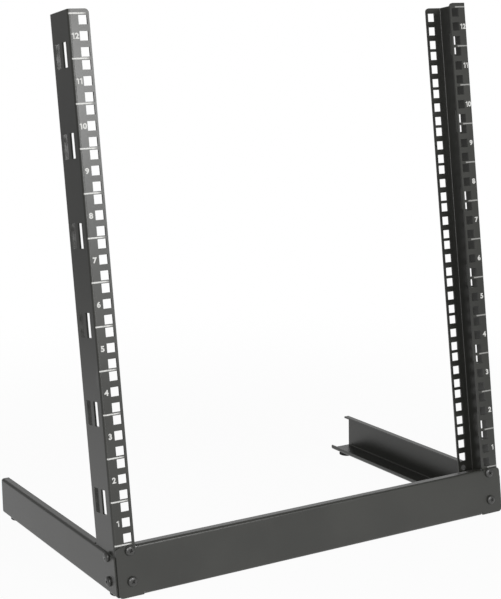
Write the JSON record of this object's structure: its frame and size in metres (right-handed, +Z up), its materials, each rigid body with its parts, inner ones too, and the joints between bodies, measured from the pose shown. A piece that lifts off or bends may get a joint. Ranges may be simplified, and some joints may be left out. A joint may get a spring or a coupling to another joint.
{
  "type": "two-post open frame rack",
  "caption": "Open frame equipment rack: folded steel channel posts with rows of square holes lean back over base rails on rubber feet, tied together by a front rail.",
  "frame": {"origin": "on the floor, at the middle of the rack's footprint", "axes": "+Z up, +Y from the front of the rack to its back, +X to the right seen from the front"},
  "size_m": [0.5068, 0.3164, 0.5925],
  "materials": {
    "black_steel": "satin black powder coat",
    "rubber_foot": "matte black rubber",
    "black_screw": "black oxide",
    "zinc_nut": "zinc plated"
  },
  "bodies": {
    "root": {"left_post": "black_steel", "right_post": "black_steel", "front_rail": "black_steel", "left_base_rail": "black_steel", "right_base_rail": "black_steel", "front_left_foot": "rubber_foot", "front_right_foot": "rubber_foot", "rear_left_foot": "rubber_foot", "rear_right_foot": "rubber_foot", "left_upper_front_screw": "black_screw", "left_lower_front_screw": "black_screw", "left_upper_side_screw": "black_screw", "left_lower_side_screw": "black_screw", "right_upper_front_screw": "black_screw", "right_lower_front_screw": "black_screw", "right_upper_side_screw": "black_screw", "right_lower_side_screw": "black_screw", "left_upper_front_nut": "zinc_nut", "left_lower_front_nut": "zinc_nut", "left_upper_side_nut": "zinc_nut", "left_lower_side_nut": "zinc_nut", "right_upper_front_nut": "zinc_nut", "right_lower_front_nut": "zinc_nut", "right_upper_side_nut": "zinc_nut", "right_lower_side_nut": "zinc_nut"}
  },
  "joints": []
}
